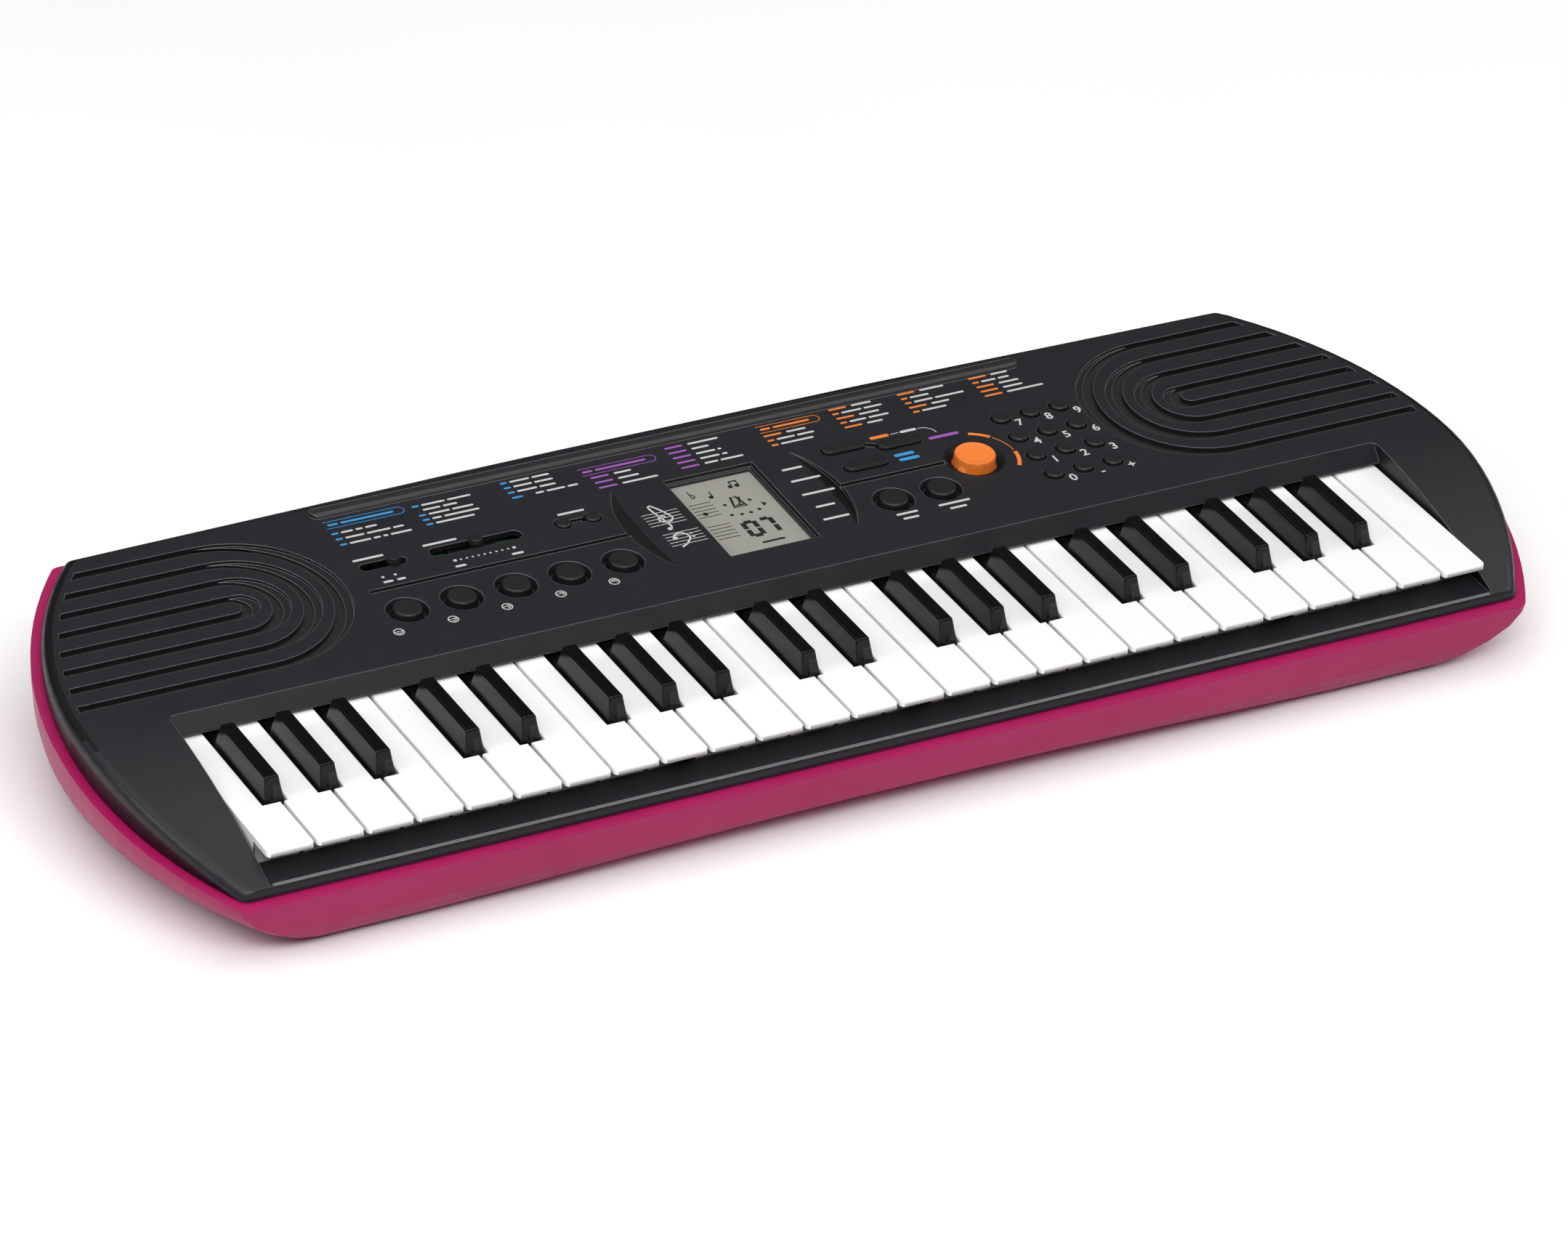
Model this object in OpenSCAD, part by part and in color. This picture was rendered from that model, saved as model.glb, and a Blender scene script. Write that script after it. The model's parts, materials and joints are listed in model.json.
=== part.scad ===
// Toy electronic keyboard with 44 keys, built-in speakers and a small display.
// Origin: middle of the footprint, on the table. +X is the treble end, +Y the rear, +Z up.

/* [Case] */
// Width over the rim of the bottom case
case_w = 604; // [602:1:608]
// Depth over the rim of the bottom case
case_d = 211; // [210:1:213]
// Height of the front of the control panel above the table
panel_front_z = 51.1; // [50.6:0.1:51.6]
// Radius of the rounded ends, seen from above
end_r = 172; // [171:1:174]
// Thickness of the moulded walls
wall = 2.4; // [2.2:0.1:2.6]

/* [Keys] */
// Distance from one white key to the next
key_pitch = 20.1; // [20:0.05:20.15]
// Gap between two white keys
key_gap = 1.3; // [1:0.1:1.5]
// Height of the white key tops above the table
white_top_z = 42.6; // [42.3:0.1:42.8]
// Height of the black keys above the white ones
black_rise = 9; // [8:0.5:10]

/* [Controls] */
// Radius of the drum pads at the top
pad_r = 5.8; // [5.4:0.1:6]
// Radius of the number buttons
number_r = 4; // [3.6:0.1:4.1]
// Radius of the large tone button
tone_r = 8.4; // [8:0.1:8.6]

/* [Hidden] */
white_count = 26;
// The row starts on F. Each entry says whether a black key follows that white key.
octave_from_f = [1, 1, 1, 0, 1, 1, 0];
// How far each black key sits from the joint between its two white keys
black_shift_from_f = [-2.8, -0.5, 2.0, 0, -1.8, 1.3, 0];
function has_black(i) = i >= 0 && i < white_count - 1 && octave_from_f[i % 7] == 1;
black_after = [for (i = [0 : white_count - 1]) if (has_black(i)) i];
black_count = len(black_after);
function two_digits(n) = n < 10 ? str("0", n) : str(n);
function white_name(i) = str("white_key_", two_digits(i + 1));
function black_name(i) = str("black_key_", two_digits(i + 1));

$fn = 48;
arc_fn = 120;
// Longer and taller than any part, for cutting bodies
big = 700;
tall = 80;
sheet_t = 0.1;

// Colours
cover_colour = [0.16, 0.16, 0.18];
case_colour = [0.64, 0.13, 0.37];
white_colour = [0.95, 0.95, 0.93];
black_colour = [0.05, 0.05, 0.06];
orange_colour = [0.96, 0.48, 0.16];
rubber_colour = [0.1, 0.1, 0.1];
steel_colour = [0.7, 0.7, 0.72];
board_colour = [0.1, 0.35, 0.2];
glass_colour = [0.62, 0.62, 0.58];

// Plan of the case and its cover
end_cx = case_w / 2 - end_r;
end_cy = -11.7;
front_y = -case_d / 2;
rear_y = case_d / 2;
rear_bow = 3.8;
bow_half = 270;
bow_reach = 1.3;
bow_steps = 8;
corner_r = 4;
cover_side_in = 4;
cover_front_in = 4.7;
cover_rear_in = 0.6;

// The joint between the case and the cover is a plane that rises to the rear
split_slope = 0.122;
split_front_z = 26.4;
split_tilt = atan(split_slope);
function split_z(y) = split_front_z + split_slope * (y - front_y);
shadow_gap = 0.5;
shadow_gap_in = 1;

// The control panel is a plane that rises gently; in front of it the ends curve down
panel_front_y = -9.3;
panel_slope = 0.041;
panel_tilt = atan(panel_slope);
wing_rear_y = -7.5;
wing_r = 268;
function panel_z(y) = panel_front_z + panel_slope * (y - panel_front_y);
function wing_z(y) = panel_z(y) - pow(min(y - wing_rear_y, 0), 2) / (2 * wing_r);
wing_steps = 16;
shoulder_r = 4;
shoulder_front = 0.3;

// Under the case
base_z = 2.5;
// Outside of the wall, from the rim down: height as a share of the full height, then how far
// the ends and the rear lie inside the rim, how far the front does, and the slide of the end arcs
wall_curve = [[1, 0, 0, 0], [0.86, 0.4, 0.3, 0.5], [0.62, 2.6, 1, 4], [0.38, 6.6, 2.4, 10],
              [0.17, 12, 4.6, 16], [0.05, 17, 7, 20], [0, 20, 10, 22]];
rim_ledge = 6.6;
floor_t = 2.4;
inner_floor_z = base_z + floor_t;
arch_h = 8.5;
arch_half = 225;
arch_depth = 50;
arch_steps = 10;

// Ridge along the rear of the panel
ridge_y = 94;
ridge_half = 156;
ridge_rings = [[3.6, -1], [3.2, 0.7], [2.4, 1.4], [1.4, 1.7]];

// Key well and the rail in front of it
rail_w = 2.3;
well_half = white_count * key_pitch / 2 + 0.5;
well_front_y = front_y + cover_front_in + rail_w;
well_rear_y = -14.2;
well_lip_z = white_top_z + 1.2;
well_wall = 2.2;
rail_z = 31.6;
ledge_z = 31;
ledge_t = 1.8;
well_corner_r = 4;
well_corner_lap = 0.5;

// Keys
white_front_y = -94.6;
white_w = key_pitch - key_gap;
white_slab_t = 2.6;
white_corner_r = 2;
white_skirt_back = 12;
white_skirt_z = 30.5;
skirt_corner_r = 0.6;
ledge_rear_y = white_front_y + white_skirt_back - 0.8;
key_wall = 1.3;
key_notch_half = 5.05;
black_front_y = -64.1;
black_notch_gap = 1.1;
black_base_w = 8.1;
black_top_w = 5.7;
black_raised_rear_y = -20.8;
black_top_z = white_top_z + black_rise;
black_edge_r = 0.8;
black_front_lean = 3;
black_rear_lean = 2.4;
black_low_z = 41.4;
black_tail_w = 6.4;
black_skirt_z = 31;
key_pivot_y = 15;
key_pivot_z = 37;
pivot_r = 2;
pivot_fit = 0.06;
clip_wall = 1.7;
clip_w = 7;
clip_mouth = 3.2;
key_rear_y = key_pivot_y + pivot_r + pivot_fit + clip_wall;
skirt_rear_y = 8;
key_rib_y = -40;
key_rib_t = 2;
key_rib_in = 0.5;
key_rib_z = 28.6;

// Key contacts under the keys
contact_board_z = 18;
contact_board_t = 1.6;
contact_board_y = -47.5;
contact_board_d = 20;
contact_board_half = 256;
strip_t = 1;
dome_r = 3.2;
dome_h = 4.6;

// Speakers
speaker_x = 210;
speaker_y = 47.3;
slot_r0 = 5.8;
slot_pitch = 11.7;
slot_w = 4;
slot_count = 4;
slot_end_in = 10.5;
hollow_shift = 3.6;
hollow_depth = 1.3;
hollow_in = 0.2;
speaker_r = 33;

// Display
lcd_x0 = -17;
lcd_x1 = 22;
lcd_y0 = 10.3;
lcd_y1 = 67;
lcd_depth = 3.3;
lcd_t = 2.8;
lcd_margin = 1.6;

// Curved grooves beside the display
swoop_r = 54;
swoop_x = 47;
swoop_y = 39.7;
swoop_depth = 1.8;
swoop_width = 6;
swoop_half = 28.3;
swoop_steps = 10;
groove_w = 2.2;
groove_depth = 1.6;
left_groove = [-156.8, 38];
right_groove_y = 39.2;
groove_lap = 1;
link_w = 3;
pill_link = [[68, 62.9], [75.5, 58.3]];
// How far the cutters for the panel's holes reach below and above its surface
under = 8;
over = 2;

// Round controls: [x, y]
pad_y = 22.2;
pad_pitch = 22.85;
pad_x0 = -148.8;
pad_spots = [for (i = [0 : 4]) [pad_x0 + i * pad_pitch, pad_y]];
round_spots = [[61.1, 22.9], [82.4, 22.9]];
tempo_spots = [[-67, 54], [-54.4, 54]];
tempo_r = 3.4;
tone_spot = [105.2, 37];
tone_ring_r = 12.3;
tone_h = 3;
tone_hole_gap = 0.6;
number_x0 = 129.6;
number_y0 = 59.3;
number_pitch = [13.3, -14.3];
number_spots = [for (row = [0 : 3], col = [0 : 2])
    [number_x0 + col * number_pitch[0], number_y0 + row * number_pitch[1]]];
number_h = 1.5;
pill_spots = [[60.4, 62.8], [82.8, 58.3], [63, 48.9]];
pill_r = 3.2;
pill_l = 19;
pill_h = 1.6;
pill_edge = 0.4;
pad_h = 1.3;
pad_ring_r = 8.4;
ring_depth = 1.6;
pad_hole_r = 7.7;
pad_flange_r = 8.8;
tempo_h = 1;
button_gap = 0.35;
flange_t = 0.9;
flange_z = -wall - 0.4;

// Sliding controls
power_slot = [-153.6, -134];
volume_slot = [-124.1, -85];
slot_y = 54;
power_slot_w = 5;
volume_slot_w = 6;
power_knob_x = -139.4;
volume_knob_x = -104.5;
knob_r = 3.1;
knob_top_r = 2.3;
knob_h = 2.6;
stem_w = 3.6;
slider_z = -4.6;
slider_t = 1;
slider_w = 12;
power_plate_l = 14;
volume_plate_l = 20;
knob_lift = 0.4;

// Boards inside
main_board_top = -7;
main_board_t = 1.6;
main_board_x = [-160, 165];
main_board_y = [21, 74];
standoff_spots = [[-140, 71], [140, 71], [-114.5, 38], [71.8, 36]];
standoff_r = 2.2;
jack_x = -118;
inlet_x = -140;
socket_z = 39.5;
socket_overlap = 8;
socket_half_h = 6.5;
// The sockets end just inside the case's wall; its holes are wide enough for the plugs' grips
socket_rear_y = 97.4;
jack_hole_r = 4.3;
jack_r = 1.8;
jack_l = 15;
inlet_hole_r = 5.7;
inlet_r = 2.8;
inlet_l = 10;
socket_hole_l = 16;
socket_side = 1;

// Battery bay: five AA cells side by side
bay_x = 72;
bay_w = 74;
bay_y0 = 20;
bay_d = 57;
bay_z = 19.6;
bay_wall = 1.8;
lid_gap = 0.3;
lid_t = 2;
lid_ledge = 2.5;
hook_w = 8;
hook_x = 24;
hook_t = 1.4;
hook_top = 3.3;
hook_reach = 4;
hook_gap = 0.6;
hook_top_z = 9.9;
hook_swing = 9;
latch_w = 14;
latch_t = 1.2;
latch_h = 4;

// Fasteners, supports and feet
screw_spots = [[268, -30], [245, 70.65], [90, 84]];
post_r = 4.4;
boss_r = 3.6;
screw_head_r = 2.9;
screw_head_t = 2.2;
screw_r = 1.5;
screw_hole_r = 1.62;
screw_seat_z = 9.2;
screw_l = 15;
drive_slot = [3.4, 0.8, 2];
screw_bore_l = 11;
post_low_z = 3;
post_top_z = 16;
rib_t = 1.6;
rib_in = 2;
rail_half = 259;
rail_web_t = 2;
foot_spots = [[215, -62], [215, 66]];
foot_r = 8;
foot_h = 3.3;

// --- Helpers ---

// Places its children on the control panel, with the panel's surface as their z = 0
module on_panel(spot) {
    translate([spot[0], spot[1], panel_z(spot[1])]) rotate([panel_tilt, 0, 0]) children();
}

module both_ends() {
    children();
    mirror([1, 0, 0]) children();
}

// Plan outline: two end arcs, a straight front and a slightly bowed rear.
// The insets move each side in; slide moves the end arcs to the rear.
module outline(side_in, front_in, rear_in, slide = 0) {
    rear_points = [for (i = [-bow_steps : bow_steps]) let (share = bow_reach * i / bow_steps)
        [bow_half * share, rear_y - rear_in - rear_bow * pow(share, 2)]];
    offset(r = corner_r, $fn = 24) offset(delta = -corner_r) intersection() {
        union() {
            both_ends() translate([end_cx, end_cy + slide]) circle(r = end_r - side_in, $fn = arc_fn);
            square([2 * end_cx, 2 * (end_r - side_in)], center = true);
        }
        polygon(concat(
            [[-big / 2, front_y + front_in], [big / 2, front_y + front_in]],
            [for (i = [len(rear_points) - 1 : -1 : 0]) rear_points[i]]
        ));
    }
}

// Everything below the plane that lies at a share f of the height of the joint
module below_plane(f, lift = 0) {
    z_front = base_z + f * (split_z(front_y) - base_z) + lift;
    tilt = atan(f * split_slope);
    translate([0, front_y, z_front]) rotate([tilt, 0, 0])
        translate([-big / 2, -case_d / 2, -tall]) cube([big, 2 * case_d, tall]);
}

module above_split(lift = 0) {
    translate([0, front_y, split_front_z + lift]) rotate([split_tilt, 0, 0])
        translate([-big / 2, -case_d / 2, 0]) cube([big, 2 * case_d, tall]);
}

// Plan of the case at one step of the wall's curve, moved in by grow but at least by least
module case_plan(step, grow, least) {
    outline(max(step[1] + grow, least), max(step[2] + grow, least), max(step[1] + grow, least), step[3]);
}

// A thin sheet of the plan lying in the plane at that step's share of the height
module case_slice(step, grow = 0, least = 0, lift = 0) {
    intersection() {
        linear_extrude(tall) case_plan(step, grow, least);
        difference() {
            below_plane(step[0], lift);
            below_plane(step[0], lift - sheet_t);
        }
    }
}

// Side profile of the cover's top, lowered by drop
module top_profile(drop) {
    wing = [for (i = [0 : wing_steps])
        let (y = front_y - 2 + i * (wing_rear_y - front_y + 2) / wing_steps) [y, wing_z(y) - drop]];
    rotate([90, 0, 90]) linear_extrude(big, center = true)
        polygon(concat(wing, [[rear_y + 2, panel_z(rear_y + 2) - drop], [rear_y + 2, 0], [front_y - 2, 0]]));
}

module cover_layer(turn) {
    inset = shoulder_r * (1 - cos(turn));
    drop = shoulder_r * (1 - sin(turn));
    intersection() {
        linear_extrude(tall)
            outline(cover_side_in + inset, cover_front_in + shoulder_front * inset, cover_rear_in + inset);
        top_profile(drop);
        above_split(shadow_gap);
    }
}

module stadium(length, r) {
    square([length - 2 * r, 2 * r], center = true);
    for (side = [-1, 1]) translate([side * (length / 2 - r), 0]) circle(r = r);
}

// --- Case and cover ---

module ridge() {
    translate([0, ridge_y, panel_z(ridge_y)]) rotate([panel_tilt, 0, 0])
        hull() for (ring = ridge_rings, side = [-1, 1])
            translate([side * (ridge_half - ring[0]), 0, ring[1] - sheet_t])
                cylinder(r = ring[0], h = sheet_t, $fn = 24);
}

// The opening that the keys fill; its rear wall leans back towards the panel
module well_shape(half, front, grow) {
    lean = (panel_front_y - well_rear_y) / (panel_front_z - well_lip_z);
    intersection() {
        rotate([90, 0, 90]) linear_extrude(2 * half, center = true) polygon([
            [front, 0], [front, tall], [panel_front_y + grow + lean * (tall - panel_front_z), tall],
            [well_rear_y + grow, well_lip_z], [well_rear_y + grow, 0]
        ]);
        linear_extrude(tall) well_plan(half, front, panel_front_y + grow + well_corner_lap);
    }
}

// Plan of the key well, with rounded rear corners
module well_plan(half, front, rear) {
    corner = [half - well_corner_r, rear - well_corner_r];
    translate([-half, front]) square([2 * half, corner[1] - front]);
    translate([-corner[0], front]) square([2 * corner[0], rear - front]);
    for (side = [-1, 1]) translate([side * corner[0], corner[1]]) circle(r = well_corner_r);
}

// Walls of the key well that stay inside the cover
module well_walls() {
    for (side = [-1, 1])
        translate([side * (well_half + well_wall / 2), (well_front_y + well_rear_y) / 2 + 1, tall / 2])
            cube([well_wall, well_rear_y - well_front_y + 2, tall], center = true);
    intersection() {
        well_shape(well_half + well_wall, well_front_y, well_wall);
        translate([-big / 2, well_rear_y - 1, well_lip_z]) cube([big, 20, tall]);
    }
}

module cover_inside() {
    difference() {
        intersection() {
            linear_extrude(tall)
                outline(cover_side_in + wall, cover_front_in + rail_w, cover_rear_in + wall);
            top_profile(wall);
        }
        well_walls();
        cover_bosses();
        board_standoffs(standoff_r, 0);
        lcd_frame();
    }
}

module cover_bosses() {
    for (spot = screw_spots, side = [-1, 1])
        translate([side * spot[0], spot[1], post_top_z]) cylinder(r = boss_r, h = tall);
}

module screw_bores() {
    for (spot = screw_spots, side = [-1, 1])
        translate([side * spot[0], spot[1], post_top_z - 1]) cylinder(r = screw_hole_r, h = screw_bore_l);
}

module lcd_frame() {
    on_panel([(lcd_x0 + lcd_x1) / 2, (lcd_y0 + lcd_y1) / 2])
        translate([0, 0, -lcd_depth / 2 + 0.2])
            cube([lcd_x1 - lcd_x0 + 2 * lcd_margin, lcd_y1 - lcd_y0 + 2 * lcd_margin, lcd_depth],
                 center = true);
}

module lcd_opening() {
    on_panel([(lcd_x0 + lcd_x1) / 2, (lcd_y0 + lcd_y1) / 2])
        cube([lcd_x1 - lcd_x0, lcd_y1 - lcd_y0, 2 * under], center = true);
}

module speaker_slots() {
    intersection() {
        union() for (i = [0 : slot_count - 1]) {
            r = slot_r0 + i * slot_pitch;
            difference() {
                u_shape(r + slot_w / 2);
                u_shape(r - slot_w / 2);
            }
        }
        translate([end_cx, end_cy]) circle(r = end_r - slot_end_in, $fn = arc_fn);
    }
}

// Shallow crescents that ease each slot's round end into the panel
module slot_hollows() {
    intersection() {
        linear_extrude(tall) for (i = [0 : slot_count - 1]) difference() {
            r = slot_r0 + i * slot_pitch;
            translate([speaker_x - hollow_shift, speaker_y]) circle(r = r + slot_w / 2 - hollow_in);
            u_shape(r);
        }
        on_panel([speaker_x, speaker_y]) translate([-big / 2, -big / 2, -hollow_depth])
            cube([big, big, tall]);
    }
}

module u_shape(r) {
    translate([speaker_x, speaker_y]) {
        circle(r = r);
        translate([0, -r]) square([end_r, 2 * r]);
    }
}

// Curved hollow beside the display: a steep outer wall and a floor that ramps up inwards,
// narrowing to nothing at both ends
function swoop_ring(i) =
    let (y = swoop_half * i / swoop_steps,
         share = max(1 - pow(i / swoop_steps, 2), 0.04),
         outer = sqrt(pow(swoop_r, 2) - pow(y, 2)) - swoop_r + swoop_x,
         inner = outer - swoop_width * share)
    [[outer, y, 1], [inner, y, 1], [inner, y, 0], [outer, y, -swoop_depth * share]];

module swoop() {
    rings = 2 * swoop_steps + 1;
    points = [for (i = [-swoop_steps : swoop_steps]) each swoop_ring(i)];
    sides = [for (i = [0 : rings - 2], k = [0 : 3])
        [4 * i + k, 4 * i + (k + 1) % 4, 4 * i + 4 + (k + 1) % 4, 4 * i + 4 + k]];
    last = 4 * (rings - 1);
    on_panel([0, swoop_y]) polyhedron(
        points, concat(sides, [[3, 2, 1, 0], [last, last + 1, last + 2, last + 3]]), convexity = 4);
}

module groove(x0, x1, y) {
    on_panel([(x0 + x1) / 2, y]) translate([0, 0, -groove_depth])
        linear_extrude(groove_depth + over) stadium(x1 - x0, groove_w / 2);
}

// Narrow hollow that joins two buttons
module link_slot(from, to) {
    run = to - from;
    on_panel((from + to) / 2) rotate([0, 0, atan2(run[1], run[0])])
        translate([-norm(run) / 2, -link_w / 2, -groove_depth])
            cube([norm(run), link_w, groove_depth + over]);
}

// Hole for a round control, with a sloping ring around it
module ringed_hole(hole_r, ring_r) {
    round_hole(hole_r);
    translate([0, 0, -ring_depth]) cylinder(r1 = hole_r, r2 = ring_r + 0.01, h = ring_depth + 0.01);
    cylinder(r = ring_r, h = over);
}

module round_hole(r) {
    translate([0, 0, -under]) cylinder(r = r, h = under + over);
}

module panel_holes() {
    for (spot = concat(pad_spots, round_spots)) on_panel(spot) ringed_hole(pad_hole_r, pad_ring_r);
    on_panel(tone_spot) ringed_hole(tone_r + tone_hole_gap, tone_ring_r);
    for (spot = tempo_spots) on_panel(spot) round_hole(tempo_r + button_gap);
    for (spot = number_spots) on_panel(spot) round_hole(number_r + button_gap);
    for (spot = pill_spots) on_panel(spot) translate([0, 0, -under])
        linear_extrude(under + over) stadium(pill_l + 2 * button_gap, pill_r + button_gap);
    link_slot(tempo_spots[0], tempo_spots[1]);
    link_slot(pill_link[0], pill_link[1]);
    slide_slot(power_slot, power_slot_w);
    slide_slot(volume_slot, volume_slot_w);
}

module slide_slot(ends, width) {
    on_panel([(ends[0] + ends[1]) / 2, slot_y])
        translate([0, 0, -under]) linear_extrude(under + over) stadium(ends[1] - ends[0], width / 2);
}

module cover_rim() {
    difference() {
        intersection() {
            linear_extrude(tall) outline(cover_side_in + shadow_gap_in, cover_front_in + shadow_gap_in,
                                       cover_rear_in + shadow_gap_in);
            above_split();
        }
        above_split(shadow_gap + 1);
    }
}

module top_cover() {
    color(cover_colour) union() {
        cover_shell();
        rail_ledge();
    }
}

module cover_shell() {
    difference() {
        union() {
            hull() for (turn = [0 : 22.5 : 90]) cover_layer(turn);
            cover_rim();
            ridge();
        }
        cover_inside();
        well_shape(well_half, well_front_y, 0);
        rail_cut();
        both_ends() linear_extrude(tall) speaker_slots();
        both_ends() slot_hollows();
        lcd_opening();
        both_ends() swoop();
        groove(left_groove[0], -swoop_x + 2 * groove_lap, left_groove[1]);
        groove(swoop_x - groove_lap, tone_spot[0] - tone_ring_r + groove_lap, right_groove_y);
        panel_holes();
        screw_bores();
    }
}

// Trims the front rail level between the two ends
module rail_cut() {
    translate([-well_half, 2 * front_y, rail_z]) cube([2 * well_half, well_front_y - 2 * front_y + 1, tall]);
}

// Ledge behind the front rail, under the overhang of the white keys
module rail_ledge() {
    translate([-well_half - 1, well_front_y - 1, ledge_z - ledge_t])
        cube([2 * well_half + 2, ledge_rear_y - well_front_y + 1, ledge_t]);
}

// The hollow of the case
module case_space() {
    difference() {
        hull() {
            for (step = wall_curve) if (step[0] > 0.1)
                case_slice(step, wall, rim_ledge, step[0] == 1 ? 1 : 0);
            translate([0, 0, inner_floor_z]) linear_extrude(sheet_t)
                case_plan(wall_curve[len(wall_curve) - 1], 0, 0);
        }
        arch(floor_t);
    }
}

// The underside arches up between the front corners, and the arch dies away to the rear
module arch(grow) {
    points = [for (i = [-arch_steps : arch_steps]) let (share = i / arch_steps)
        [arch_half * share, grow + arch_h * (1 - pow(share, 2))]];
    translate([0, front_y, base_z]) rotate([90 - atan(arch_h / arch_depth), 0, 0])
        linear_extrude(3 * arch_depth, center = true)
            polygon(concat([[-arch_half, -3 * arch_h]], points, [[arch_half, -3 * arch_h]]));
}

module case_posts() {
    for (spot = screw_spots, side = [-1, 1])
        translate([side * spot[0], spot[1], post_low_z]) cylinder(r = post_r, h = post_top_z - post_low_z);
}

// Counterbores for the screw heads and the holes for their shanks
module screw_recesses() {
    for (spot = screw_spots, side = [-1, 1]) translate([side * spot[0], spot[1], 0]) {
        translate([0, 0, -1]) cylinder(r = screw_head_r + 0.4, h = screw_seat_z + 1);
        cylinder(r = screw_hole_r, h = post_top_z + 1);
    }
}

module contact_ribs() {
    for (y = [contact_board_y + rib_in, contact_board_y + contact_board_d - rib_in])
        translate([-contact_board_half + 2 * rib_in, y - rib_t / 2, base_z + 1])
            cube([2 * contact_board_half - 4 * rib_in, rib_t, contact_board_z - base_z - 1]);
}

// Round rail that every key snaps onto, on its web
module pivot_rail() {
    translate([-rail_half, key_pivot_y, key_pivot_z]) rotate([0, 90, 0])
        cylinder(r = pivot_r, h = 2 * rail_half);
    translate([-rail_half, key_pivot_y - rail_web_t / 2, base_z + 1])
        cube([2 * rail_half, rail_web_t, key_pivot_z - base_z - 1]);
}

module bay_box(x_in, y_in, z0, z1) {
    translate([bay_x - bay_w / 2 + x_in, bay_y0 + y_in, z0])
        cube([bay_w - 2 * x_in, bay_d - 2 * y_in, z1 - z0]);
}

module bay_cuts() {
    bay_box(0, 0, -1, bay_z);
    bay_box(-lid_ledge, -lid_ledge, -1, base_z + lid_t);
    hook_pockets(0, base_z + lid_t - 0.1);
}

// Closed pockets in front of the bay for the lid's hooks, or with grow the blocks around them
module hook_pockets(grow, low_z) {
    for (side = [-1, 1])
        translate([bay_x + side * hook_x - hook_w / 2 - hook_gap - grow, bay_y0 - hook_swing - grow, low_z])
            cube([hook_w + 2 * (hook_gap + grow), hook_swing + grow + 0.1, hook_top_z + grow - low_z]);
}

module socket_holes() {
    for (hole = [[jack_x, jack_hole_r], [inlet_x, inlet_hole_r]])
        socket_bore(hole[0], hole[1], socket_hole_l, rear_y + socket_hole_l / 2);
}

// A cylinder along Y that ends at y = rear
module socket_bore(x, r, length, rear) {
    translate([x, rear, socket_z]) rotate([90, 0, 0]) cylinder(r = r, h = length);
}

module foot_recesses() {
    for (spot = foot_spots, side = [-1, 1])
        translate([side * spot[0], spot[1], -1]) cylinder(r = foot_r + 0.2, h = foot_h + 1);
}

module bottom_case() {
    color(case_colour) difference() {
        union() {
            difference() {
                hull() for (step = wall_curve) case_slice(step);
                case_space();
                arch(0);
            }
            case_posts();
            contact_ribs();
            pivot_rail();
            bay_box(-bay_wall, -bay_wall, base_z + 1, bay_z + bay_wall);
            hook_pockets(bay_wall, base_z + 1);
        }
        screw_recesses();
        bay_cuts();
        socket_holes();
        foot_recesses();
    }
}

module battery_cover() {
    x0 = bay_x - bay_w / 2 - lid_ledge + lid_gap;
    y0 = bay_y0 - lid_ledge + lid_gap + lid_t / 2;
    lid_w = bay_w + 2 * lid_ledge - 2 * lid_gap;
    lid_d = bay_d + 2 * lid_ledge - 2 * lid_gap - lid_t / 2;
    color(case_colour) union() {
        translate([x0, y0, base_z]) cube([lid_w, lid_d, lid_t]);
        translate([x0, y0, base_z + lid_t / 2]) rotate([0, 90, 0]) cylinder(r = lid_t / 2, h = lid_w);
        for (side = [-1, 1]) translate([bay_x + side * hook_x, y0, base_z + lid_t / 2]) lid_hook();
        translate([bay_x - latch_w / 2, bay_y0 + bay_d - lid_gap - latch_t, base_z + lid_t - 0.1])
            cube([latch_w, latch_t, latch_h]);
    }
}

// Hook on the front edge of the lid, drawn around the edge's own centre
module lid_hook() {
    rotate([90, 0, 90]) linear_extrude(hook_w, center = true) polygon([
        [-0.6, 0], [0.9, 0], [0.9, hook_top], [-hook_reach, hook_top],
        [-hook_reach, hook_top - hook_t], [-0.6, hook_top - hook_t]
    ]);
}

module rubber_feet() {
    color(rubber_colour) for (spot = foot_spots, side = [-1, 1])
        translate([side * spot[0], spot[1], 0]) rotate_extrude()
            polygon([[0, 0], [foot_r - 1, 0], [foot_r, 1], [foot_r, foot_h], [0, foot_h]]);
}

module case_screws() {
    color(steel_colour) for (spot = screw_spots, side = [-1, 1])
        translate([side * spot[0], spot[1], screw_seat_z]) difference() {
            union() {
                translate([0, 0, -screw_head_t]) cylinder(r = screw_head_r, h = screw_head_t);
                cylinder(r = screw_r, h = screw_l);
            }
            for (turn = [0, 90]) rotate([0, 0, turn]) translate([0, 0, -screw_head_t])
                cube(drive_slot, center = true);
        }
}

// --- Inside the case ---

module speaker() {
    rotate_extrude() polygon([
        [0, -25], [17, -25], [17, -17], [14, -16.5], [speaker_r - 4, -6], [speaker_r, -5.5],
        [speaker_r, -wall - 0.1], [speaker_r - 3, -wall - 0.1], [speaker_r - 5, -4],
        [12, -11], [10, -9], [0, -7.5]
    ]);
}

module speakers() {
    color(rubber_colour) both_ends() on_panel([speaker_x, speaker_y]) speaker();
}

module board_standoffs(r, top) {
    for (spot = standoff_spots) on_panel(spot)
        translate([0, 0, main_board_top]) cylinder(r = r, h = top - main_board_top);
}

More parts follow.
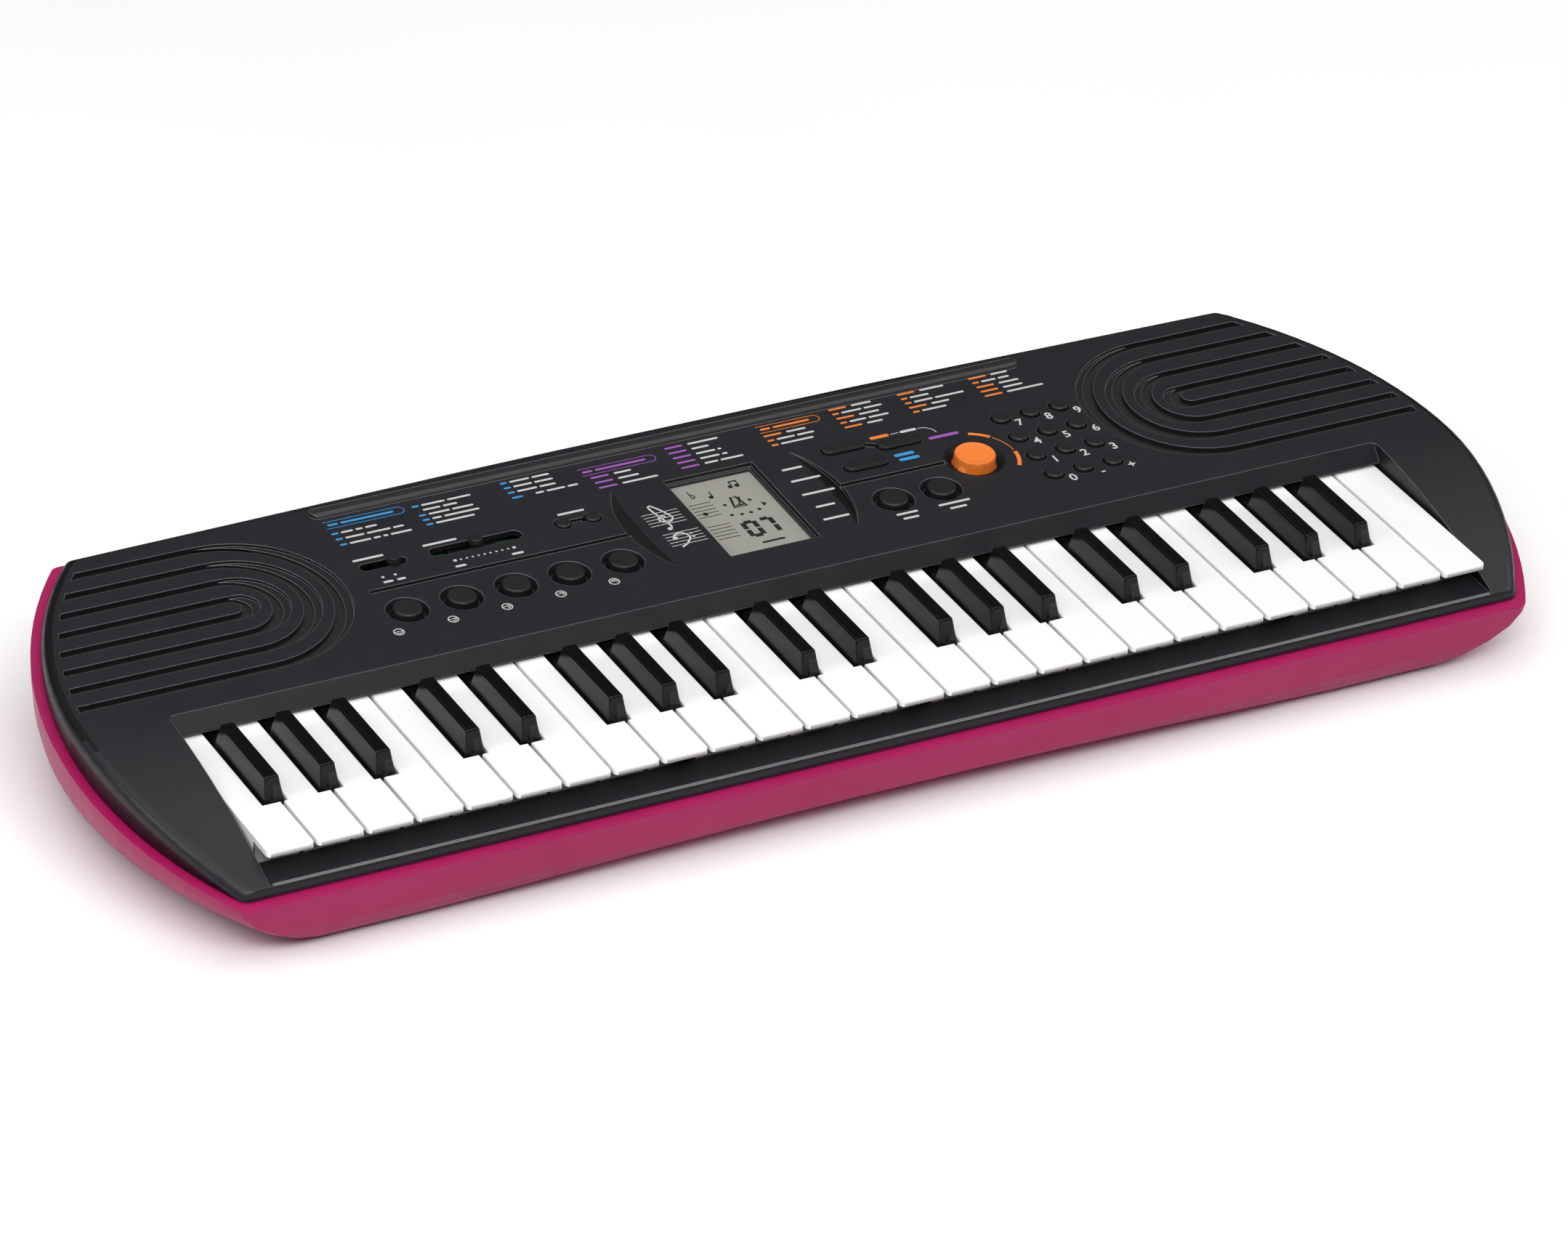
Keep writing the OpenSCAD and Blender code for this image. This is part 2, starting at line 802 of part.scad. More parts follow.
module main_board() {
    board_mid = [(main_board_x[0] + main_board_x[1]) / 2, (main_board_y[0] + main_board_y[1]) / 2];
    color(board_colour) difference() {
        union() {
            on_panel(board_mid) translate([0, 0, main_board_top - main_board_t / 2])
                cube([main_board_x[1] - main_board_x[0], main_board_y[1] - main_board_y[0], main_board_t],
                     center = true);
            socket_body(jack_x, jack_hole_r);
            socket_body(inlet_x, inlet_hole_r);
        }
        socket_bore(jack_x, jack_r, jack_l, socket_rear_y);
        socket_bore(inlet_x, inlet_r, inlet_l, socket_rear_y);
    }
}

// A socket that hangs from the rear edge of the board
module socket_body(x, hole_r) {
    front = main_board_y[1] - socket_overlap;
    half_w = hole_r + socket_side;
    translate([x - half_w, front, socket_z - socket_half_h])
        cube([2 * half_w, socket_rear_y - front, 2 * socket_half_h]);
}

module key_contact_board() {
    color(board_colour) translate([-contact_board_half, contact_board_y, contact_board_z])
        cube([2 * contact_board_half, contact_board_d, contact_board_t]);
}

module key_contact_strip() {
    strip_z = contact_board_z + contact_board_t;
    color(rubber_colour) union() {
        translate([-contact_board_half + 2, contact_board_y + 2, strip_z])
            cube([2 * contact_board_half - 4, contact_board_d - 4, strip_t]);
        for (i = [0 : white_count - 1]) dome(white_mid(i));
        for (i = black_after) dome(black_x(i));
    }
}

module dome(x) {
    translate([x, key_rib_y, contact_board_z + contact_board_t])
        cylinder(r1 = dome_r, r2 = dome_r - 1, h = strip_t + dome_h);
}

module lcd_panel() {
    color(glass_colour) on_panel([(lcd_x0 + lcd_x1) / 2, (lcd_y0 + lcd_y1) / 2])
        translate([0, 0, -lcd_depth - lcd_t / 2])
            cube([lcd_x1 - lcd_x0 + 2 * lcd_margin, lcd_y1 - lcd_y0 + 2 * lcd_margin, lcd_t],
                 center = true);
}

// --- Controls ---

// Round button: a slightly tapered top and a flange that stays under the cover
module round_button(top_r, base_r, height, flange_r) {
    rotate_extrude() polygon([
        [0, flange_z - flange_t], [flange_r, flange_z - flange_t], [flange_r, flange_z],
        [base_r, flange_z], [top_r, height - 0.5], [top_r - 0.5, height], [0, height]
    ]);
}

module pill_button() {
    translate([0, 0, flange_z - flange_t]) linear_extrude(flange_t) stadium(pill_l + 2, pill_r + 1);
    translate([0, 0, flange_z - 0.1]) {
        linear_extrude(pill_h - flange_z - pill_edge) stadium(pill_l, pill_r);
        linear_extrude(pill_h - flange_z + 0.1) stadium(pill_l - 2 * pill_edge, pill_r - pill_edge);
    }
}

module drum_pads() {
    color(cover_colour) for (spot = pad_spots) on_panel(spot)
        round_button(pad_r, pad_r + 0.7, pad_h, pad_flange_r);
}

module number_buttons() {
    color(cover_colour) for (spot = number_spots) on_panel(spot)
        round_button(number_r - 0.2, number_r, number_h, number_r + 1);
}

module function_buttons() {
    color(cover_colour) {
        for (spot = round_spots) on_panel(spot) round_button(pad_r, pad_r + 0.7, pad_h, pad_flange_r);
        for (spot = tempo_spots) on_panel(spot)
            round_button(tempo_r - 0.2, tempo_r, tempo_h, tempo_r + 1);
        for (spot = pill_spots) on_panel(spot) pill_button();
    }
}

module tone_button() {
    color(orange_colour) on_panel(tone_spot) round_button(tone_r - 0.1, tone_r, tone_h, tone_r + 2);
}

// Slider plate under the cover, a stem through the slot and a round grip
module slide_knob(x, plate_l) {
    on_panel([x, slot_y]) {
        translate([0, 0, slider_z + slider_t / 2]) cube([plate_l, slider_w, slider_t], center = true);
        translate([-stem_w / 2, -stem_w / 2, slider_z]) cube([stem_w, stem_w, knob_lift - slider_z + 0.1]);
        translate([0, 0, knob_lift]) cylinder(r1 = knob_r, r2 = knob_top_r, h = knob_h - knob_lift);
    }
}

module power_knob() {
    color(cover_colour) slide_knob(power_knob_x, power_plate_l);
}

module volume_knob() {
    color(cover_colour) slide_knob(volume_knob_x, volume_plate_l);
}

// --- Keys ---

function white_x(i) = (i - (white_count - 1) / 2) * key_pitch;
function black_x(i) = white_x(i) + key_pitch / 2 + black_shift_from_f[i % 7];
function tail_left(i) = has_black(i - 1) ? black_x(i - 1) + key_notch_half : white_x(i) - white_w / 2;
function tail_right(i) = has_black(i) ? black_x(i) - key_notch_half : white_x(i) + white_w / 2;
function white_mid(i) = (tail_left(i) + tail_right(i)) / 2;

// Plan of a white key: a wide head and a tail that leaves room for the black keys
module white_plan(i, front, rear, inset, corner) {
    left = white_x(i) - white_w / 2 + inset;
    right = white_x(i) + white_w / 2 - inset;
    notch_y = black_front_y - black_notch_gap - inset;
    translate([left, front + corner]) square([right - left, notch_y - front - corner]);
    translate([left + corner, front]) square([right - left - 2 * corner, corner + 1]);
    for (x = [left + corner, right - corner]) translate([x, front + corner]) circle(r = corner);
    translate([tail_left(i) + inset, notch_y - 1])
        square([tail_right(i) - tail_left(i) - 2 * inset, rear - notch_y + 1]);
}

// Clip that snaps over the pivot rail, open below
module pivot_clip(x) {
    translate([x, key_pivot_y, key_pivot_z]) rotate([0, 90, 0])
        cylinder(r = pivot_r + pivot_fit + clip_wall, h = clip_w, center = true);
    translate([x - clip_w / 2, key_pivot_y - clip_wall - pivot_r, key_pivot_z])
        cube([clip_w, 2 * (clip_wall + pivot_r), white_top_z - white_slab_t - key_pivot_z + 0.1]);
}

module pivot_clip_cut(x) {
    translate([x, key_pivot_y, key_pivot_z]) {
        rotate([0, 90, 0]) cylinder(r = pivot_r + pivot_fit, h = clip_w + 2, center = true);
        translate([-clip_w / 2 - 1, -clip_mouth / 2, -10]) cube([clip_w + 2, clip_mouth, 10]);
    }
}

module white_key(i) {
    slab_z = white_top_z - white_slab_t;
    color(white_colour) difference() {
        union() {
            translate([0, 0, slab_z]) linear_extrude(white_slab_t)
                white_plan(i, white_front_y, key_rear_y, 0, white_corner_r);
            translate([0, 0, white_skirt_z]) linear_extrude(slab_z - white_skirt_z + 0.1) difference() {
                white_plan(i, white_front_y + white_skirt_back, skirt_rear_y, 0, skirt_corner_r);
                white_plan(i, white_front_y + white_skirt_back + key_wall, skirt_rear_y - key_wall,
                           key_wall, skirt_corner_r);
            }
            translate([tail_left(i) + key_rib_in, key_rib_y - key_rib_t / 2, key_rib_z])
                cube([tail_right(i) - tail_left(i) - 2 * key_rib_in, key_rib_t, slab_z - key_rib_z + 0.1]);
            pivot_clip(white_mid(i));
        }
        pivot_clip_cut(white_mid(i));
    }
}

// Raised part of a black key, narrower at the top, with soft edges
module black_cap(x) {
    top_z = black_top_z - black_edge_r;
    hull() {
        translate([x - black_base_w / 2, black_front_y, black_low_z])
            cube([black_base_w, black_raised_rear_y - black_front_y, 0.1]);
        for (side = [-1, 1], y = [black_front_y + black_front_lean, black_raised_rear_y - black_rear_lean])
            translate([x + side * (black_top_w / 2 - black_edge_r), y, top_z])
                sphere(r = black_edge_r, $fn = 16);
    }
}

module black_key(i) {
    x = black_x(i);
    slab_z = white_top_z - white_slab_t;
    rib_front = key_rib_y - key_rib_t / 2;
    color(black_colour) difference() {
        union() {
            black_cap(x);
            translate([x - black_base_w / 2, black_front_y, black_skirt_z])
                cube([black_base_w, black_raised_rear_y - black_front_y, black_low_z - black_skirt_z + 0.1]);
            translate([x - black_tail_w / 2, black_raised_rear_y - 2, slab_z])
                cube([black_tail_w, key_rear_y - black_raised_rear_y + 2, white_slab_t]);
            translate([x - key_rib_t / 2, key_rib_y - key_rib_t / 2, key_rib_z])
                cube([key_rib_t, key_rib_t, slab_z - key_rib_z + 0.1]);
            pivot_clip(x);
        }
        translate([x - black_base_w / 2 + key_wall, black_front_y + key_wall, black_skirt_z - 1])
            cube([black_base_w - 2 * key_wall, rib_front - black_front_y - key_wall,
                  slab_z - black_skirt_z + 1]);
        translate([x - black_base_w / 2 + key_wall, rib_front + key_rib_t, black_skirt_z - 1])
            cube([black_base_w - 2 * key_wall, black_raised_rear_y - key_wall - rib_front - key_rib_t,
                  slab_z - black_skirt_z + 1]);
        pivot_clip_cut(x);
    }
}

top_cover();
bottom_case();
battery_cover();
rubber_feet();
case_screws();
speakers();
main_board();
key_contact_board();
key_contact_strip();
lcd_panel();
drum_pads();
number_buttons();
function_buttons();
tone_button();
power_knob();
volume_knob();
for (i = [0 : white_count - 1]) white_key(i);
for (i = [0 : black_count - 1]) black_key(black_after[i]);
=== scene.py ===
"""Toy electronic keyboard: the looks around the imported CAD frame. All sizes below are in millimetres."""
import json
import math

import bmesh
import bpy
from mathutils import Matrix, Vector
from mathutils.bvhtree import BVHTree


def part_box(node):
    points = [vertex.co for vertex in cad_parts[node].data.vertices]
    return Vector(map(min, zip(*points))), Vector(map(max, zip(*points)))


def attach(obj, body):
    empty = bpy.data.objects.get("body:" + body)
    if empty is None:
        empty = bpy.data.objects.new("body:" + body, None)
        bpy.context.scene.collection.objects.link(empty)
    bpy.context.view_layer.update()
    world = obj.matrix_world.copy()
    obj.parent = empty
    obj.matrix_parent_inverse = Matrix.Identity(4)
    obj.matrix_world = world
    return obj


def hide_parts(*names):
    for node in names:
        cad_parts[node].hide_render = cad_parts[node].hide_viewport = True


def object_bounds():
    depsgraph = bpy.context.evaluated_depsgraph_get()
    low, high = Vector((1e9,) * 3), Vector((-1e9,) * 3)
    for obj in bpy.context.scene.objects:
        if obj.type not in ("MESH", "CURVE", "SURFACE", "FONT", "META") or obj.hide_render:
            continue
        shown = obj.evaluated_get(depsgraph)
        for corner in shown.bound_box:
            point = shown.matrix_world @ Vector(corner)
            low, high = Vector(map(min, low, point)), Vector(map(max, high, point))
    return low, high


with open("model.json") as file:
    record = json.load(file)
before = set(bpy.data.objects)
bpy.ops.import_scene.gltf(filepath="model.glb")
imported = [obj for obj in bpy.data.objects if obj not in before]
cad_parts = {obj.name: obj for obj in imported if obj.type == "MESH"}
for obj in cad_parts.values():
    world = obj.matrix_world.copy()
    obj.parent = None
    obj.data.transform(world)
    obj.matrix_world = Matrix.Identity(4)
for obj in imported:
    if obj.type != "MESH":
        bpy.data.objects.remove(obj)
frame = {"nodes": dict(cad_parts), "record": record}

MM = 0.001
CAD_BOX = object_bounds()
NODES = frame["nodes"]
JOINTS = {joint["name"]: joint for joint in frame["record"]["behaviour"]["joints"]}
BODIES = frame["record"]["behaviour"]["bodies"]
BODY_OF = {node: body for body, members in BODIES.items() for node in members}
SLOT_OF = {part["node"]: part["material_slot"] for part in frame["record"]["subparts"]}

# Camera: a long lens in front of the bass end, looking down
VIEW_AZIMUTH = -30.31
VIEW_ELEVATION = 31.43
VIEW_ROLL = 3.97
VIEW_DISTANCE = 2910.5
VIEW_TARGET = (-12.8, -25.9, 42.6)
LENS = 175.8
SENSOR = 36.0

# Ink colours, linear
WHITE = (0.55, 0.55, 0.56)
BLUE = (0.03, 0.27, 0.60)
PURPLE = (0.30, 0.085, 0.42)
ORANGE = (0.78, 0.20, 0.025)
LCD_BLACK = (0.002, 0.002, 0.002)


# --- Small helpers ---

def mm(*values):
    return Vector(values) * MM


def link(obj):
    bpy.context.scene.collection.objects.link(obj)
    return obj


def mesh_object(name, bm):
    mesh = bpy.data.meshes.new(name)
    bm.normal_update()
    bm.to_mesh(mesh)
    bm.free()
    return link(bpy.data.objects.new(name, mesh))


def bridge(bm, one, two):
    """Faces between two rings that have the same number of corners."""
    for i in range(len(one)):
        j = (i + 1) % len(one)
        bm.faces.new((one[i], one[j], two[j], two[i]))


def smooth(obj, angle=35):
    """Smooth shading with sharp edges where faces meet at more than the angle; wide faces stay flat."""
    obj.data.polygons.foreach_set("use_smooth", [True] * len(obj.data.polygons))
    obj.data.set_sharp_from_angle(angle=math.radians(angle))
    weighted = obj.modifiers.new("flat_faces", "WEIGHTED_NORMAL")
    weighted.keep_sharp = True
    return obj


def add_piece(obj, body, material):
    obj.data.materials.clear()
    obj.data.materials.append(material)
    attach(obj, body)
    return obj


# --- Materials ---

class Graph:
    """A short way to write a node material."""

    def __init__(self, name):
        self.material = bpy.data.materials.new(name)
        self.material.use_nodes = True
        self.tree = self.material.node_tree
        self.shader = self.tree.nodes["Principled BSDF"]
        self.where = self.add("ShaderNodeTexCoord").outputs["Object"]

    def add(self, kind, **settings):
        node = self.tree.nodes.new(kind)
        for key, value in settings.items():
            setattr(node, key, value)
        return node

    def link(self, source, target):
        self.tree.links.new(source, target)

    def noise(self, scale, detail=2.0, roughness=0.5):
        node = self.add("ShaderNodeTexNoise")
        node.inputs["Scale"].default_value = scale
        node.inputs["Detail"].default_value = detail
        node.inputs["Roughness"].default_value = roughness
        self.link(self.where, node.inputs["Vector"])
        return node.outputs["Fac"]

    def spread(self, value, low, high, start=0.3, end=0.7):
        """Maps a 0 to 1 pattern onto a range."""
        node = self.add("ShaderNodeMapRange")
        node.inputs["From Min"].default_value = start
        node.inputs["From Max"].default_value = end
        node.inputs["To Min"].default_value = low
        node.inputs["To Max"].default_value = high
        self.link(value, node.inputs["Value"])
        return node.outputs["Result"]

    def blend(self, factor, first, second):
        """Colour between two colours or sockets."""
        node = self.add("ShaderNodeMix", data_type="RGBA")
        self.link(factor, node.inputs["Factor"])
        for value, name in ((first, "A"), (second, "B")):
            socket = [s for s in node.inputs if s.name == name and s.type == "RGBA"][0]
            if isinstance(value, tuple):
                socket.default_value = (*value, 1)
            else:
                self.link(value, socket)
        return [s for s in node.outputs if s.type == "RGBA"][0]

    def mixed(self, factor, first, second):
        """A value that goes from a socket to a number."""
        node = self.add("ShaderNodeMix", data_type="FLOAT")
        self.link(factor, node.inputs["Factor"])
        self.link(first, node.inputs["A"])
        node.inputs["B"].default_value = second
        return node.outputs["Result"]

    def rounded_edges(self, radius):
        node = self.add("ShaderNodeBevel", samples=4)
        node.inputs["Radius"].default_value = radius * MM
        return node.outputs["Normal"]

    def edge_mask(self, bevel_normal):
        """Near 1 on edges and 0 on flat faces."""
        true_normal = self.add("ShaderNodeNewGeometry").outputs["Normal"]
        dot = self.add("ShaderNodeVectorMath", operation="DOT_PRODUCT")
        self.link(bevel_normal, dot.inputs[0])
        self.link(true_normal, dot.inputs[1])
        return self.spread(dot.outputs["Value"], 1, 0, 0.72, 0.995)

    def bump(self, height, strength, distance, normal=None):
        node = self.add("ShaderNodeBump")
        node.inputs["Strength"].default_value = strength
        node.inputs["Distance"].default_value = distance * MM
        self.link(height, node.inputs["Height"])
        if normal is not None:
            self.link(normal, node.inputs["Normal"])
        self.link(node.outputs["Normal"], self.shader.inputs["Normal"])


def plastic(name, colour, shade, rough, grain=(2600, 0.12), edge=0.35, edge_highlight_colour=None, specular=0.5):
    """Moulded plastic: a little colour drift, fine grain, and on the edges a painted highlight colour with
    lower roughness.
    """
    g = Graph(name)
    drift = g.spread(g.noise(9, 3), 0, 1)
    base = g.blend(drift, colour, shade)
    roughness = g.spread(g.noise(60, 4), rough[0], rough[1])
    rounded = None
    if edge:
        rounded = g.rounded_edges(edge)
        # Painted highlight: the edge colour is blended onto the edges, where roughness is also lower.
        if edge_highlight_colour:
            painted_edge_highlight = g.edge_mask(rounded)
            base = g.blend(painted_edge_highlight, base, edge_highlight_colour)
            roughness = g.mixed(painted_edge_highlight, roughness, rough[0] * 0.55)
    g.link(base, g.shader.inputs["Base Color"])
    g.link(roughness, g.shader.inputs["Roughness"])
    g.shader.inputs["Specular IOR Level"].default_value = specular
    g.bump(g.noise(grain[0], 2), grain[1], 0.2, rounded)
    return g.material


def woven_screen(name):
    """Dark woven screen behind the speaker slots."""
    g = Graph(name)
    threads = []
    for axis in ("X", "Y"):
        wave = g.add("ShaderNodeTexWave", wave_type="BANDS", bands_direction=axis)
        wave.inputs["Scale"].default_value = 420
        g.link(g.where, wave.inputs["Vector"])
        threads.append(wave.outputs["Fac"])
    weave = g.add("ShaderNodeMath", operation="MAXIMUM")
    g.link(threads[0], weave.inputs[0])
    g.link(threads[1], weave.inputs[1])
    g.link(g.blend(weave.outputs["Value"], (0.002, 0.002, 0.002), (0.008, 0.008, 0.008)),
           g.shader.inputs["Base Color"])
    g.shader.inputs["Roughness"].default_value = 0.9
    g.bump(weave.outputs["Value"], 0.5, 0.2)
    return g.material


def circuit(name):
    """Green solder mask with faint copper tracks under it."""
    g = Graph(name)
    tracks = g.add("ShaderNodeTexBrick")
    tracks.inputs["Scale"].default_value = 90
    tracks.inputs["Mortar Size"].default_value = 0.03
    g.link(g.where, tracks.inputs["Vector"])
    drift = g.spread(g.noise(30, 3), 0, 1)
    mask = g.blend(drift, (0.010, 0.09, 0.04), (0.014, 0.12, 0.05))
    g.link(g.blend(tracks.outputs["Fac"], mask, (0.03, 0.20, 0.07)), g.shader.inputs["Base Color"])
    g.link(g.spread(g.noise(200), 0.3, 0.42), g.shader.inputs["Roughness"])
    g.bump(tracks.outputs["Fac"], 0.3, 0.1)
    return g.material


def print_ink(name, colour):
    """Screen-printed ink: matt, slightly uneven."""
    g = Graph(name)
    dull = tuple(c * 0.88 for c in colour)
    g.link(g.blend(g.spread(g.noise(700, 3), 0, 1), colour, dull), g.shader.inputs["Base Color"])
    g.link(g.spread(g.noise(300), 0.45, 0.6), g.shader.inputs["Roughness"])
    return g.material


# Each plastic: colour, second colour, range of roughness, and what else differs from the plain kind
# An edge colour in the settings is a painted highlight along the edges.
PLASTICS = {
    "cover_plastic": (
        (0.0085, 0.0085, 0.0115), (0.0100, 0.0100, 0.0132), (0.36, 0.44),
        {"grain": (1500, 0.2), "edge": 0.5, "edge_highlight_colour": (0.26, 0.25, 0.26), "specular": 0.36}),
    # A lighter copy of the cover plastic: painted highlight on the ridge.
    "cover_painted_lit": (
        (0.016, 0.016, 0.019), (0.019, 0.019, 0.022), (0.26, 0.32),
        {"grain": (1500, 0.08), "edge": 0.4, "edge_highlight_colour": (0.30, 0.29, 0.30)}),
    # A darker copy of the cover plastic: painted shade in the hollows.
    "cover_painted_shade": (
        (0.003, 0.003, 0.004), (0.004, 0.004, 0.005), (0.4, 0.5),
        {"grain": (1500, 0.15), "edge": 0.4, "edge_highlight_colour": (0.16, 0.155, 0.16), "specular": 0.2}),
    # Light grey on the beads of the black rail: painted highlight.
    "bead_painted_highlight": (
        (0.14, 0.14, 0.145), (0.16, 0.16, 0.165), (0.25, 0.3),
        {"edge": 0}),
    "case_plastic": (
        (0.300, 0.0035, 0.072), (0.325, 0.004, 0.080), (0.40, 0.48),
        {"grain": (1400, 0.10), "edge": 0.5, "specular": 0.30}),
    "white_key_plastic": (
        (0.86, 0.855, 0.85), (0.85, 0.845, 0.84), (0.24, 0.26),
        {"grain": (900, 0.04), "edge": 0}),
    "black_key_plastic": (
        (0.003, 0.003, 0.0035), (0.004, 0.004, 0.0045), (0.13, 0.18),
        {"grain": (900, 0.03), "edge": 0.35, "edge_highlight_colour": (0.12, 0.12, 0.125), "specular": 0.24}),
    "button_plastic": (
        (0.007, 0.007, 0.009), (0.009, 0.009, 0.011), (0.34, 0.42),
        {"grain": (1600, 0.2), "edge": 0.35, "edge_highlight_colour": (0.07, 0.07, 0.072), "specular": 0.36}),
    "orange_plastic": (
        (0.80, 0.20, 0.028), (0.76, 0.18, 0.024), (0.38, 0.46),
        {"edge": 0.2}),
    "display_glass": (
        (0.30, 0.295, 0.26), (0.28, 0.275, 0.245), (0.2, 0.28),
        {"edge": 0}),
    "rubber": (
        (0.012, 0.012, 0.012), (0.018, 0.018, 0.018), (0.7, 0.85),
        {"edge": 0.3}),
    "screw_steel": (
        (0.55, 0.55, 0.57), (0.45, 0.45, 0.47), (0.25, 0.4),
        {"edge": 0.15}),
    "speaker_cone": (
        (0.012, 0.012, 0.012), (0.02, 0.02, 0.02), (0.6, 0.8),
        {"grain": (500, 0.4), "edge": 0.3}),
}
MATERIALS = {name: plastic(name, *look, **settings) for name, (*look, settings) in PLASTICS.items()}
MATERIALS["circuit_board"] = circuit("circuit_board")
MATERIALS["screen_weave"] = woven_screen("screen_weave")
MATERIALS["screw_steel"].node_tree.nodes["Principled BSDF"].inputs["Metallic"].default_value = 1.0
INKS = {ink: print_ink("ink_" + ink, colour) for ink, colour in
        (("white", WHITE), ("blue", BLUE), ("purple", PURPLE), ("orange", ORANGE), ("lcd", LCD_BLACK))}


# --- CAD nodes: finished materials, and softer edges where a hand or an eye meets them ---

for node, obj in NODES.items():
    obj.data.materials.clear()
    obj.data.materials.append(MATERIALS[SLOT_OF[node]])


def stand_for(obj, *nodes):
    """The piece rides where the CAD node rides and takes its place in the picture."""
    add_piece(obj, BODY_OF[nodes[0]], MATERIALS[SLOT_OF[nodes[0]]])
    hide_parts(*nodes)
    return obj


def merged_copy(node, flat=0.6):
    """The node's mesh in one skin, with faces that lie within an angle of each other joined."""
    bm = bmesh.new()
    bm.from_mesh(NODES[node].data)
    bmesh.ops.remove_doubles(bm, verts=bm.verts, dist=0.002 * MM)
    if flat:
        bmesh.ops.dissolve_limit(bm, angle_limit=math.radians(flat), verts=bm.verts, edges=bm.edges)
    return bm


def panel_height():
    """Height of the control panel in the middle of the cover."""
    cover = BVHTree.FromBMesh(merged_copy("top_cover"))
    above, down = Vector((0, 0, 0.2)), Vector((0, 0, -1))
    return cover.ray_cast(above, down)[0].z / MM


# The plane of the control panel: the buttons press square to it
PANEL_UP = -Vector(JOINTS["drum_pads_press"]["axis"]).normalized()
PANEL_SLOPE = -PANEL_UP.y / PANEL_UP.z
PANEL_Z0 = panel_height()
PANEL_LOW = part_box("tone_button")[1].z - 6 * MM


def soften(bm, width, chosen, least_angle=30, segments=3):
    """Rounds the sharp outer edges that the test picks."""
    sharp = math.radians(least_angle)
    edges = [e for e in bm.edges
             if e.is_manifold and e.is_convex and e.calc_face_angle() > sharp and chosen(e)]
    bmesh.ops.bevel(bm, geom=edges, offset=width * MM, offset_type="OFFSET", segments=segments,
                    profile=0.5, affect="EDGES", clamp_overlap=True)


def edge_above(z):
    return lambda edge: min(v.co.z for v in edge.verts) > z


WHITE_KEY_EDGE = 0.7


def soft_keys():
    """White keys get rounded top edges; black keys have them from the CAD."""
    for node in NODES:
        if not node.startswith(("white_key", "black_key")):
            continue
        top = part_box(node)[1].z
        is_white = node.startswith("white_key")
        bm = merged_copy(node, 0.6 if is_white else 0)
        if is_white:
            soften(bm, WHITE_KEY_EDGE, edge_above(top - 0.05 * MM))
        stand_for(smooth(mesh_object(node + "_soft", bm), 40 if is_white else 30), node)


# How wide each piece's edges are rounded
EDGE_WIDTHS = {"drum_pads": 0.45, "number_buttons": 0.35, "function_buttons": 0.3,
               "power_knob": 0.4, "volume_knob": 0.4, "battery_cover": 0.3}
HIDDEN_FLANGE = 2


def soft_buttons():
    """Rounds every edge of the battery cover, and the edges of the buttons and knobs above their flanges."""
    for node, width in EDGE_WIDTHS.items():
        bm = merged_copy(node)
        level = -1 if node == "battery_cover" else HIDDEN_FLANGE
        soften(bm, width, edge_above(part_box(node)[0].z + level * MM))
        stand_for(smooth(mesh_object(node + "_soft", bm), 32), node)


def dish(bm, rim, depth):
    """Sinks the middle of a button's top inside a rim."""
    top = max(bm.faces, key=lambda face: face.calc_center_median().dot(PANEL_UP))
    bmesh.ops.inset_region(bm, faces=[top], thickness=rim * MM, depth=0)
    bmesh.ops.inset_region(bm, faces=[top], thickness=0.5 * MM, depth=-depth * MM)


TONE_RIM = 1.5
TONE_DISH = 0.45


def dished_tone_button():
    bm = merged_copy("tone_button")
    dish(bm, TONE_RIM, TONE_DISH)
    stand_for(smooth(mesh_object("tone_button_dished", bm), 32), "tone_button")


RIDGE_LOW = 0.12
HOLLOW_TOP = -0.05
HOLLOW_BOTTOM = -1.9
STEEPEST, FLATTEST = 0.6, 0.99


def paint_ridge_and_hollows(cover):
    """A lighter, smoother copy of the cover plastic on the ridge along the rear as painted highlight, and a
    darker copy in the hollows beside the display as painted shade.
    """
    cover.data.materials.append(MATERIALS["cover_painted_lit"])
    cover.data.materials.append(MATERIALS["cover_painted_shade"])
    for face in cover.data.polygons:
        height = (face.center - mm(0, 0, PANEL_Z0)).dot(PANEL_UP) / MM
        if face.center.z < PANEL_LOW:
            continue
        if height > RIDGE_LOW:
            # Painted highlight on the ridge.
            face.material_index = 1
        elif HOLLOW_BOTTOM < height < HOLLOW_TOP and STEEPEST < face.normal.z < FLATTEST:
            # Painted shade in the hollows.
            face.material_index = 2


def panel_edge(edge):
    """Whether an edge borders the control panel's flat top, high on the cover."""
    return min(v.co.z for v in edge.verts) > PANEL_LOW and any(f.normal.z > 0.995 for f in edge.link_faces)


COVER_EDGE = 0.45


def smooth_shells():
    """The two halves of the housing, with the rim of the control panel rounded."""
    cover = merged_copy("top_cover")
    soften(cover, COVER_EDGE, panel_edge, least_angle=50, segments=2)
    paint_ridge_and_hollows(stand_for(smooth(mesh_object("top_cover_smooth", cover), 32), "top_cover"))
    stand_for(smooth(mesh_object("bottom_case_smooth", merged_copy("bottom_case")), 32), "bottom_case")


soft_keys()
soft_buttons()
dished_tone_button()
smooth_shells()


# --- Flat shapes on the control panel ---

def on_panel(x, y, lift=0.0):
    """A point on the panel's plane, raised along its normal."""
    return (Vector((x, y, PANEL_Z0 + PANEL_SLOPE * y)) + PANEL_UP * lift) * MM


def centre(node):
    """Middle of a node's box, seen from above, in millimetres."""
    low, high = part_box(node)
    return (low.x + high.x) / 2 / MM, (low.y + high.y) / 2 / MM


def half_size(node):
    low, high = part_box(node)
    return (high.x - low.x) / 2 / MM, (high.y - low.y) / 2 / MM


